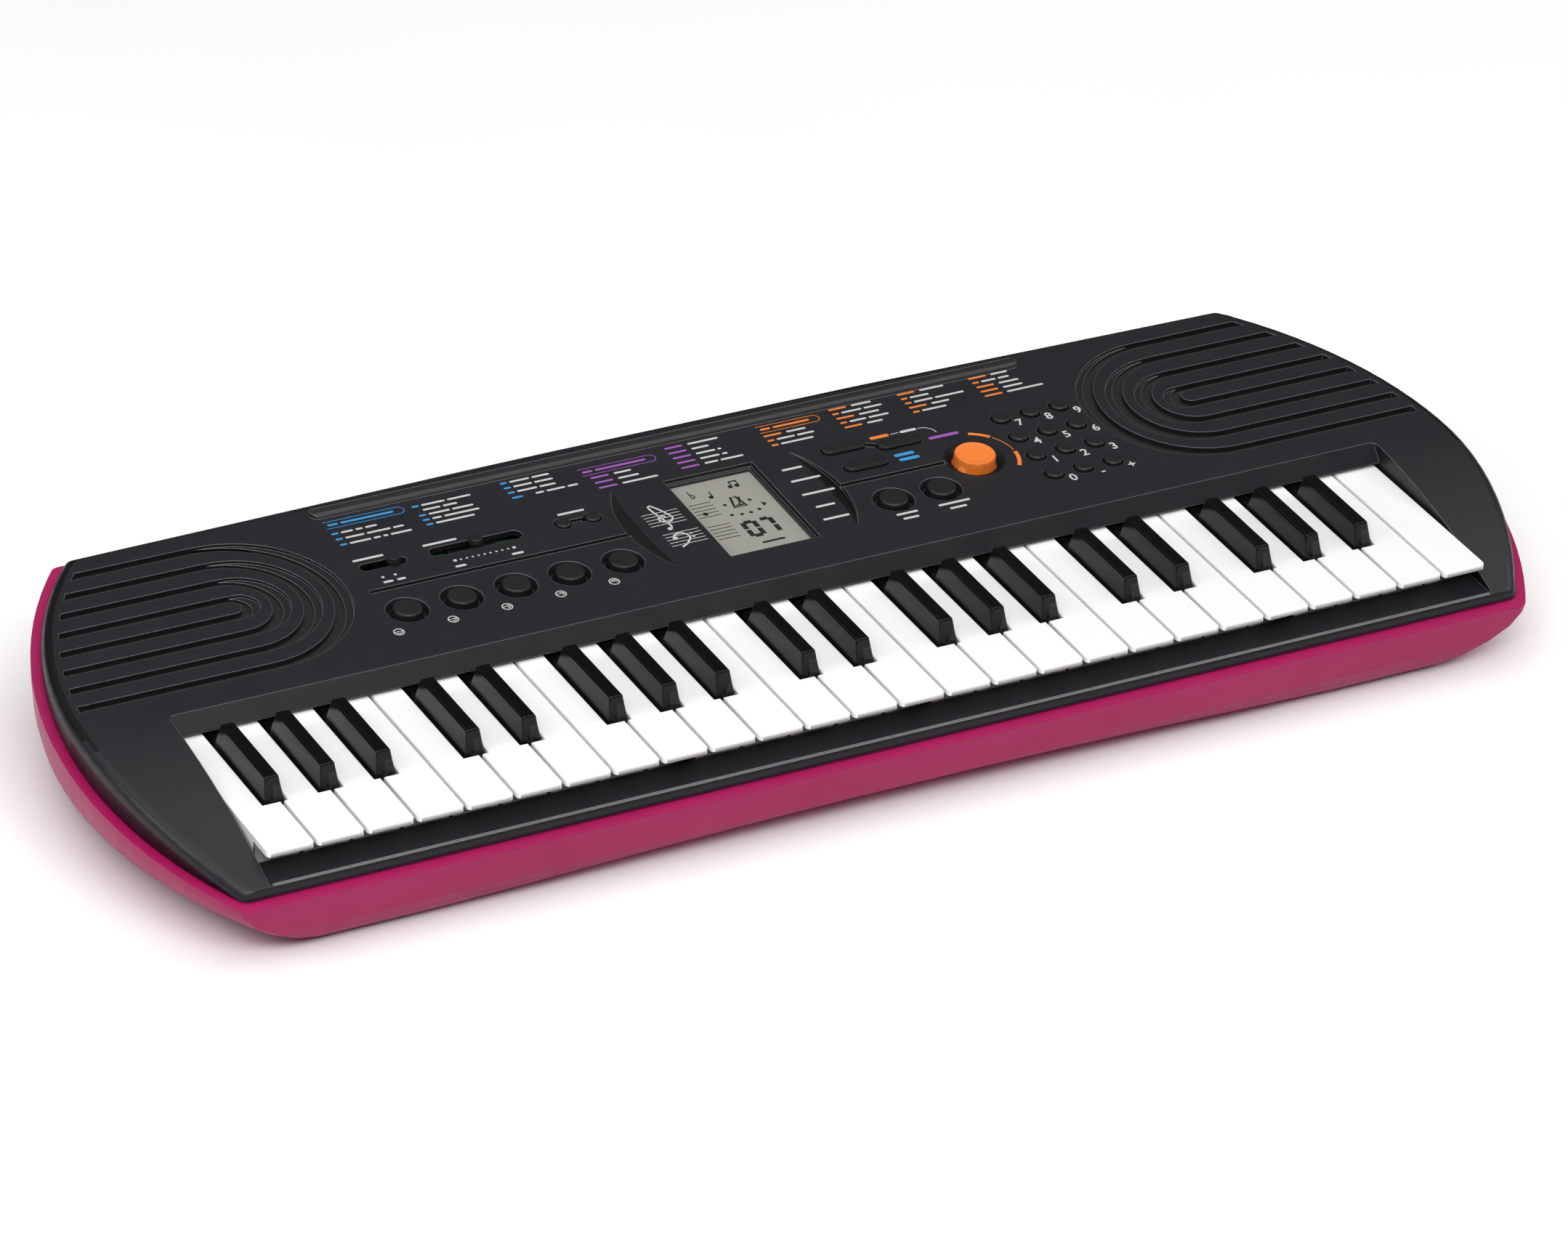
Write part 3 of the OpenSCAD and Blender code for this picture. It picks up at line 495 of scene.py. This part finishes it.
class Sheet:
    """Flat shapes, a little thick, that lie on the panel's plane; each ink is one mesh."""

    def __init__(self, name, low, high):
        self.name = name
        self.bm = bmesh.new()
        self.low = low
        self.high = high

    def plate(self, outline):
        """A closed outline, filled."""
        low = [self.bm.verts.new(on_panel(x, y, self.low)) for x, y in outline]
        high = [self.bm.verts.new(on_panel(x, y, self.high)) for x, y in outline]
        self.bm.faces.new(high)
        self.bm.faces.new(reversed(low))
        bridge(self.bm, low, high)

    def ribbon(self, path, width, closed=False):
        """A line of even width along a path."""
        count = len(path)
        sides = []
        for i, (x, y) in enumerate(path):
            before = path[i - 1] if i or closed else path[i]
            after = path[(i + 1) % count] if i < count - 1 or closed else path[i]
            run = Vector((after[0] - before[0], after[1] - before[1])).normalized()
            across = Vector((-run.y, run.x)) * width / 2
            sides.append([self.bm.verts.new(on_panel(x + s * across.x, y + s * across.y, lift))
                          for s, lift in ((1, self.high), (-1, self.high), (-1, self.low), (1, self.low))])
        for i in range(count if closed else count - 1):
            bridge(self.bm, sides[i], sides[(i + 1) % count])
        if not closed:
            self.bm.faces.new(sides[0])
            self.bm.faces.new(reversed(sides[-1]))

    def bar(self, x0, x1, y, height):
        self.plate(stadium(x0, x1, y, height / 2))

    def dot(self, x, y, radius, sides=20):
        self.plate(arc(x, y, radius, 0, 360 - 360 / sides, sides))

    def done(self, material, slot="panel_print", body="root"):
        bmesh.ops.recalc_face_normals(self.bm, faces=self.bm.faces)
        return add_piece(mesh_object(self.name, self.bm), body, material)


def arc(x, y, radius, start, end, count):
    """Points on a circle, angles in degrees."""
    turns = [math.radians(start + (end - start) * i / (count - 1)) for i in range(count)]
    return [(x + radius * math.cos(t), y + radius * math.sin(t)) for t in turns]


def stadium(x0, x1, y, radius, steps=8):
    return (arc(x1 - radius, y, radius, -90, 90, steps)
            + arc(x0 + radius, y, radius, 90, 270, steps))


# --- Prints on the panel: bars stand for words, so nothing can be read ---

PRINT_LOW = -0.04
PRINT_HIGH = 0.05
WORD_H = 1.1
WORD_GAP = 1.1
LABEL_H = 1.25
PILL_R = 2.3
LINE_W = 0.3
JOINING_LINE_W = 0.35
NARROW_NUMBER = 4
WORD_COLUMN = 10.2
NO_NUMBER_INDENT = 3.2
TONE_ARC_R = 18
PRINTS = {ink: Sheet("print_" + ink, PRINT_LOW, PRINT_HIGH) for ink in ("white", "blue", "purple", "orange")}


def words(x, y, widths, ink="white", height=WORD_H):
    """A row of word-like bars; returns where the row ends."""
    for width in widths:
        PRINTS[ink].bar(x, x + width, y, height)
        x += width + WORD_GAP
    return x


def listing(ink, x, y, pitch, rows):
    """A list: each row has the width of its coloured number, or 0, and the widths of its white words."""
    for i, (number, widths) in enumerate(rows):
        row_y = y - i * pitch
        start = words(x, row_y, [number], ink) if number else x + NO_NUMBER_INDENT
        if number > NARROW_NUMBER:
            start = x + WORD_COLUMN
        words(start, row_y, widths)


def heading(ink, x0, x1, y):
    """A heading: two bars inside a ruled pill that is open to the left."""
    path = [(x0, y + PILL_R)] + arc(x1 - PILL_R, y, PILL_R, 90, -90, 10) + [(x0, y - PILL_R)]
    PRINTS[ink].ribbon(path, LINE_W)
    words(x0 + 1, y, [4.5, (x1 - x0) - 11], ink, 1.2)


def word_lists():
    """Bars in place of the lists of songs, patterns and tones."""
    heading("blue", -153.3, -119.9, 85.5)
    listing("blue", -153.5, 79.3, 3.95, [(3, [5, 3, 5]), (3, [8, 10, 4.5]), (3, [9, 3, 2, 9])])
    listing("blue", -116.5, 85.5, 3.3, [(3, [10, 10]), (0, [7.5, 6]), (3, [9, 9]), (3, [4, 15]), (3, [16.5])])
    listing("blue", -77.4, 88, 3.5, [(3, [8.5, 7.5]), (3, [8, 8]), (3, [8.5, 7])])
    listing("blue", -77.4, 77.3, 3.5, [(4.6, [3.6, 8, 4.5])])
    heading("purple", -44.9, -11.9, 83.7)
    listing("purple", -42.6, 79, 3.7, [(8, [7.5]), (8, [9]), (8, [15.5])])
    listing("purple", -6, 87.5, 3.7,
            [(8, [13.5]), (8, [7.5]), (8, [8.5, 1.6]), (8, [8.5, 2.4]), (8, [6, 10])])
    heading("orange", 34.9, 62.2, 86.3)
    listing("orange", 34.9, 81.5, 3.5, [(8, [8.5]), (3, [8, 7.5]), (3, [14.5])])
    listing("orange", 68.1, 89.4, 3.4, [(8, [9]), (3, [9, 8]), (8, [9]), (3, [7.5, 9]), (8, [7])])
    listing("orange", 99.2, 89.6, 3.4, [(8, [11]), (3, [8.5]), (3, [8.5, 13]), (8, [8]), (3, [11])])
    listing("orange", 132, 89.9, 3.4, [(8, [7.5]), (3, [6.5, 5]), (8, [9]), (8, [9]), (8, [16.5])])


# Each label: where it starts and ends, and how far back it is
SLIDER_LABELS = ((-154, -141, 59.5), (-124.5, -110, 59.5), (-66.5, -55, 60.2), (-119, -114.3, 42),
                 (-95, -90, 42), (-149.2, -145, 42.2), (-143.4, -139.8, 42.2))
DISPLAY_LABELS = ((30, 39, 57), (29.5, 42.5, 48.5), (29, 43.5, 38.5), (30, 38.5, 29), (28.5, 40, 20))
# Below the two round buttons: the middle of two rows, and the length of each row
ROUND_BUTTON_LABELS = ((61.5, (9.5, 7)), (82.5, (14, 7.5)))
ROUND_LABEL_Y = 12.6
ROUND_LABEL_PITCH = 3.4
POWER_DOTS_X = (-147.8, -142.6)
POWER_DOTS_Y = 45.6
VOLUME_DOTS = 11
VOLUME_DOTS_START = (-117.2, 46)
VOLUME_DOTS_PITCH = 2.51


def control_labels():
    """Bars beside the controls, and the dots of the two sliders."""
    white = PRINTS["white"]
    for x0, x1, y in SLIDER_LABELS + DISPLAY_LABELS:
        white.bar(x0, x1, y, LABEL_H)
    for x in POWER_DOTS_X:
        white.dot(x, POWER_DOTS_Y, 0.65)
    x, y = VOLUME_DOTS_START
    for i in range(VOLUME_DOTS):
        is_end = i in (0, VOLUME_DOTS - 1)
        white.dot(x + i * VOLUME_DOTS_PITCH, y, 0.75 if is_end else 0.45)
    for x, widths in ROUND_BUTTON_LABELS:
        for row, width in enumerate(widths):
            white.bar(x - width / 2, x + width / 2, ROUND_LABEL_Y - row * ROUND_LABEL_PITCH, LABEL_H)


# Each coloured label: ink, where it starts and ends, how far back it is, and its height
TONE_LABELS = (("orange", 73.5, 82, 65, 1.9), ("white", 87, 94.4, 65, 1.5),
               ("purple", 95.5, 109, 56.7, 1.7),
               ("blue", 76.5, 85.5, 50.4, 1.9), ("blue", 77, 86, 47, 1.9))
TONE_LINE_Y = 65


def tone_labels():
    """Coloured words joined by a thin line, and the arc beside the large button."""
    for ink, x0, x1, y, height in TONE_LABELS:
        PRINTS[ink].bar(x0, x1, y, height)
    PRINTS["white"].ribbon([(82.8, TONE_LINE_Y), (86.4, TONE_LINE_Y)], JOINING_LINE_W)
    PRINTS["white"].ribbon([(95, TONE_LINE_Y)] + arc(95.6, 59.8, 5.2, 90, 0, 10), JOINING_LINE_W)
    x, y = centre("tone_button")
    for start, end in ((68, 40), (-4, -36)):
        PRINTS["orange"].ribbon(arc(x, y + 0.4, TONE_ARC_R, start, end, 10), 1.6)
    PRINTS["orange"].ribbon(arc(x, y + 0.4, TONE_ARC_R, 37, 0, 14), JOINING_LINE_W)


PADS = 5
DRUM_R = 2.0


def pad_icons():
    """A small drum drawn from above in front of each pad, turned a little more on each."""
    middle, half = centre("drum_pads"), half_size("drum_pads")
    pitch = 2 * (half[0] - half[1]) / (PADS - 1)
    white = PRINTS["white"]
    for i in range(PADS):
        x = middle[0] - 2 * pitch + i * pitch - 9.5
        y = middle[1] - 12.5 + i * 0.3
        turn = 200 + 30 * i
        white.ribbon(arc(x, y, DRUM_R, 0, 340, 18), 0.45, closed=True)
        white.ribbon(arc(x, y, 1.1, turn, turn + 180, 8), 0.4)
        white.ribbon([(x - 1.9, y + 0.2), (x + 1.9, y + 0.2)], LINE_W)


STAVE_LINES = 5


def stave(sheet, left, base, length, pitch, width):
    for line in range(STAVE_LINES):
        y = base + line * pitch
        sheet.ribbon([(left, y), (left + length, y)], width)


def spiral_points(x, y, start_r, growth, step):
    """One turn of a spiral; its radius grows with each degree."""
    points = []
    for degrees in range(0, 361, step):
        radius = start_r + growth * degrees
        turn = math.radians(degrees)
        points.append((x + radius * math.cos(turn), y + radius * math.sin(turn)))
    return points


def clefs():
    """Two staves with a G clef and an F clef, the usual music signs."""
    white = PRINTS["white"]
    stave(white, -36.5, 39.5, 15.5, 2.05, LINE_W)
    stave(white, -35, 24.5, 15.5, 2.05, LINE_W)
    spiral = spiral_points(-28.9, 43.4, 0.9, 0.0075, 24)
    stem = [(-26.2, 45.6), (-27.4, 48.6), (-29.0, 51.4), (-30.3, 53.3), (-31.3, 52.6), (-31.2, 50.4),
            (-30.3, 46), (-29.2, 41), (-28.6, 37.4), (-29.4, 35.8)]
    white.ribbon(spiral + stem, 0.8)
    white.dot(-30, 36, 1.0)
    white.ribbon(arc(-28.6, 28.8, 3.2, 160, -50, 16) + [(-28.6, 24.2), (-31.4, 22.8)], 0.8)
    white.dot(-31.2, 29.2, 1.05)
    for y in (28, 30.4):
        white.dot(-23.9, y, 0.55)


word_lists()
control_labels()
tone_labels()
pad_icons()
clefs()
for ink, sheet in PRINTS.items():
    sheet.done(INKS[ink])


KEYPAD = "7894561230-+"
KEYPAD_COLUMNS = 3
FLANGE_R = 5
DIGIT_RIGHT = 5.9
DIGIT_DOWN = 5.2
DIGIT_SIZE = 6.2


def flat_digit(label):
    """One digit as a flat mesh, in Blender's own font."""
    text = bpy.data.curves.new("digit", "FONT")
    text.body = label
    text.size = DIGIT_SIZE * MM
    text.offset = 0.09 * MM
    text.extrude = 0.04 * MM
    text.align_x = "CENTER"
    text.align_y = "CENTER"
    obj = link(bpy.data.objects.new("digit", text))
    mesh = bpy.data.meshes.new_from_object(obj)
    bpy.data.objects.remove(obj)
    return mesh


def keypad_digits():
    """A digit or sign at the lower right of each number button."""
    tilt = Matrix.Rotation(math.atan(PANEL_SLOPE), 4, "X")
    middle, half = centre("number_buttons"), half_size("number_buttons")
    rows = len(KEYPAD) // KEYPAD_COLUMNS
    pitch = ((half[0] - FLANGE_R), (half[1] - FLANGE_R) * 2 / (rows - 1))
    shapes = bmesh.new()
    for i, label in enumerate(KEYPAD):
        row, column = divmod(i, KEYPAD_COLUMNS)
        x = middle[0] + pitch[0] * (column - (KEYPAD_COLUMNS - 1) / 2) + DIGIT_RIGHT
        y = middle[1] - pitch[1] * (row - (rows - 1) / 2) - DIGIT_DOWN
        mesh = flat_digit(label)
        mesh.transform(Matrix.Translation(on_panel(x, y)) @ tilt)
        shapes.from_mesh(mesh)
    bmesh.ops.remove_doubles(shapes, verts=shapes.verts, dist=0.001 * MM)
    add_piece(mesh_object("keypad_digits", shapes), "root", INKS["white"])


keypad_digits()


# --- Display ---

LCD_DEPTH = 3.3
BEZEL_W = 1.6
GLASS = [(corner.x / MM, corner.y / MM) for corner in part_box("lcd_panel")]
LCD_X0, LCD_X1 = GLASS[0][0] + BEZEL_W, GLASS[1][0] - BEZEL_W
LCD_Y0, LCD_Y1 = GLASS[0][1] + BEZEL_W, GLASS[1][1] - BEZEL_W


def display_marks():
    """What the display shows: staves, two seven-segment digits and plain music signs."""
    marks = Sheet("display_marks", -LCD_DEPTH - 0.03, -LCD_DEPTH + 0.04)
    for base in (26.5, 42.5):
        stave(marks, -13.5, base, 9.5, 2.3, 0.4)
    marks.dot(-9.8, 44.6, 1.1)
    for x, segments in ((0.4, "abcdef"), (7.4, "abc")):
        seven_segments(marks, x, 23.4, segments)
    marks.bar(1.5, 11.5, 18.8, 1.2)
    metronome(marks, 5.6, 44.5)
    beat_dots(marks)
    note(marks, -2.2, 54.5)
    beamed_notes(marks, 8.3, 58.5)
    flat_sign(marks, -9.5, 56)
    marks.done(INKS["lcd"])


def beat_dots(marks):
    """An arc of beats round the metronome, with an arrow at its end."""
    for x in (0.2, 11):
        marks.dot(x, 47.6, 0.8)
    for i in range(4):
        marks.dot(-0.5 + 4 * i, 39.5 + (0 if i % 3 else 0.8), 0.8)
    marks.plate([(14.4, 41.5), (16.2, 43.2), (14.4, 45)])


def seven_segments(marks, x, y, lit, width=4.8, height=11, stroke=2.1):
    """One digit with the named outer segments lit."""
    middle = y + height / 2
    low, high = y + 0.7, y + height - 0.7
    paths = {"a": [(x + 0.8, high), (x + width - 0.8, high)],
             "b": [(x + width, high), (x + width, middle + 0.4)],
             "c": [(x + width, middle - 0.4), (x + width, low)],
             "d": [(x + 0.8, low), (x + width - 0.8, low)],
             "e": [(x, middle - 0.4), (x, low)],
             "f": [(x, high), (x, middle + 0.4)]}
    for segment in lit:
        marks.ribbon(paths[segment], stroke)


def metronome(marks, x, y):
    marks.ribbon([(x - 2.6, y), (x + 2.6, y), (x + 1.1, y + 7), (x - 1.1, y + 7)], 1.1, closed=True)
    marks.ribbon([(x, y + 1.2), (x + 2.6, y + 6.6)], 0.7)
    marks.bar(x - 1.8, x + 1.8, y + 1.1, 1.0)


def note(marks, x, y):
    marks.dot(x, y, 1.05)
    marks.ribbon([(x + 0.8, y), (x + 0.8, y + 3.6)], 0.55)


def beamed_notes(marks, x, y):
    for right in (0, 2.9):
        note(marks, x + right, y)
    marks.bar(x + 0.5, x + 4.3, y + 3.4, 0.7)


def flat_sign(marks, x, y):
    marks.ribbon([(x, y + 5.5), (x, y)] + arc(x, y + 1.4, 1.4, -90, 90, 8), 0.5)


def display_bezel():
    """Stepped frame inside the window, just above the glass."""
    bm = bmesh.new()
    rings = []
    foot = LCD_DEPTH - 0.02
    for inset, depth in ((0.12, foot), (0.12, 1.5), (0.5, 1.4), (BEZEL_W, 2.2), (BEZEL_W, foot)):
        corners = ((LCD_X0 + inset, LCD_Y0 + inset), (LCD_X1 - inset, LCD_Y0 + inset),
                   (LCD_X1 - inset, LCD_Y1 - inset), (LCD_X0 + inset, LCD_Y1 - inset))
        rings.append([bm.verts.new(on_panel(x, y, -depth)) for x, y in corners])
    for i, ring in enumerate(rings):
        bridge(bm, ring, rings[(i + 1) % len(rings)])
    bmesh.ops.recalc_face_normals(bm, faces=bm.faces)
    add_piece(mesh_object("display_bezel", bm), "root", MATERIALS["cover_plastic"])


display_marks()
display_bezel()


# --- Trim on the cover ---

RAIL_Z = 31.6
BEAD_R = 0.32
BEADS_IN = (0.85, 1.75)


def rail_beads():
    """Two fine beads along the front rail, coloured light grey as painted highlight."""
    low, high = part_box("white_key_01")[0].x / MM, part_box("white_key_26")[1].x / MM
    cover_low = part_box("top_cover")[0].y / MM
    for i, bead_in in enumerate(BEADS_IN):
        bm = bmesh.new()
        circle = arc(cover_low + bead_in, RAIL_Z, BEAD_R, 0, 315, 8)
        rings = [[bm.verts.new(mm(x, y, z)) for y, z in circle] for x in (low, high)]
        bridge(bm, *rings)
        bm.faces.new(reversed(rings[0]))
        bm.faces.new(rings[1])
        bmesh.ops.recalc_face_normals(bm, faces=bm.faces)
        bead = smooth(mesh_object(f"rail_bead_{i + 1}", bm), 50)
        add_piece(bead, "root", MATERIALS["bead_painted_highlight"])


SPEAKER_R = 33
SCREEN_R = 46
SCREEN_LOW = -2.49
SCREEN_HIGH = -2.41
END_R = 172
END_Y = -11.7
END_IN = 8.5


def speaker_screens():
    """Woven screens clamped under the slots: round towards the middle, and along the cover's curved end."""
    speaker_x = half_size("speakers")[0] - SPEAKER_R
    end_x = CAD_BOX[1].x / MM - END_R
    for side, name in ((-1, "left"), (1, "right")):
        screen = Sheet("speaker_screen_" + name, SCREEN_LOW, SCREEN_HIGH)
        outline = (arc(speaker_x, centre("speakers")[1], SCREEN_R, 90, 270, 24)
                   + arc(end_x, END_Y, END_R - END_IN, 4.6, 40, 12))
        screen.plate([(side * x, y) for x, y in outline])
        screen.done(MATERIALS["screen_weave"], "speaker_cone")


rail_beads()
speaker_screens()


# --- Floor, light and camera ---

FLOOR_SIZE = 12
# World light: how far up each brightness starts, and the brightness
HORIZON = (0.62, 0.05)
OVERHEAD = (0.9, 1.5)
# Each area light: where it is, its two sides in metres and its power in watts; all point at the part
LIGHTS = {"light_front": ((-0.6, -1.7, 1.9), (2.6, 0.8), 44),
          "light_left": ((-1.9, 0.1, 1.2), (1.2, 0.8), 12),
          "light_right": ((1.9, -0.3, 1.3), (1.2, 0.8), 8)}


def make_floor():
    bpy.ops.mesh.primitive_plane_add(size=FLOOR_SIZE, location=(0, 0, 0))
    floor = bpy.context.object
    floor.name = "floor"
    g = Graph("floor_paper")
    g.link(g.blend(g.spread(g.noise(3), 0, 1), (0.90, 0.90, 0.90), (0.88, 0.88, 0.88)),
           g.shader.inputs["Base Color"])
    g.shader.inputs["Roughness"].default_value = 0.9
    g.shader.inputs["Specular IOR Level"].default_value = 0.1
    floor.data.materials.append(g.material)


def area_light(name, place, size, power):
    light = bpy.data.lights.new(name, "AREA")
    light.shape = "RECTANGLE"
    light.size = size[0]
    light.size_y = size[1]
    light.energy = power
    obj = link(bpy.data.objects.new(name, light))
    obj.location = place
    obj.rotation_euler = (-Vector(place)).to_track_quat("-Z", "Y").to_euler()


def make_world():
    """A studio that is bright overhead and dim towards the horizon."""
    world = bpy.data.worlds.new("studio")
    world.use_nodes = True
    tree = world.node_tree
    where = tree.nodes.new("ShaderNodeTexCoord")
    split = tree.nodes.new("ShaderNodeSeparateXYZ")
    ramp = tree.nodes.new("ShaderNodeMapRange")
    ramp.inputs["From Min"].default_value, ramp.inputs["To Min"].default_value = HORIZON
    ramp.inputs["From Max"].default_value, ramp.inputs["To Max"].default_value = OVERHEAD
    tree.links.new(where.outputs["Generated"], split.inputs["Vector"])
    tree.links.new(split.outputs["Z"], ramp.inputs["Value"])
    tree.links.new(ramp.outputs["Result"], tree.nodes["Background"].inputs["Strength"])
    tree.nodes["Background"].inputs["Color"].default_value = (1, 1, 1, 1)
    bpy.context.scene.world = world


def make_camera():
    azimuth, elevation, roll = (math.radians(a) for a in (VIEW_AZIMUTH, VIEW_ELEVATION, VIEW_ROLL))
    back = Vector((math.sin(azimuth) * math.cos(elevation),
                   -math.cos(azimuth) * math.cos(elevation),
                   math.sin(elevation)))
    right = Vector((math.cos(azimuth), math.sin(azimuth), 0))
    up = back.cross(right)
    rolled_right = right * math.cos(roll) + up * math.sin(roll)
    rolled_up = up * math.cos(roll) - right * math.sin(roll)
    turn = Matrix((rolled_right, rolled_up, back)).transposed().to_4x4()
    data = bpy.data.cameras.new("camera")
    data.lens = LENS
    data.sensor_width = SENSOR
    data.clip_end = 50
    camera = link(bpy.data.objects.new("camera", data))
    camera.matrix_world = Matrix.Translation(mm(*VIEW_TARGET) + back * VIEW_DISTANCE * MM) @ turn
    bpy.context.scene.camera = camera


make_floor()
make_world()
for name, (place, size, power) in LIGHTS.items():
    area_light(name, place, size, power)
make_camera()
bpy.context.scene.view_settings.view_transform = "Standard"
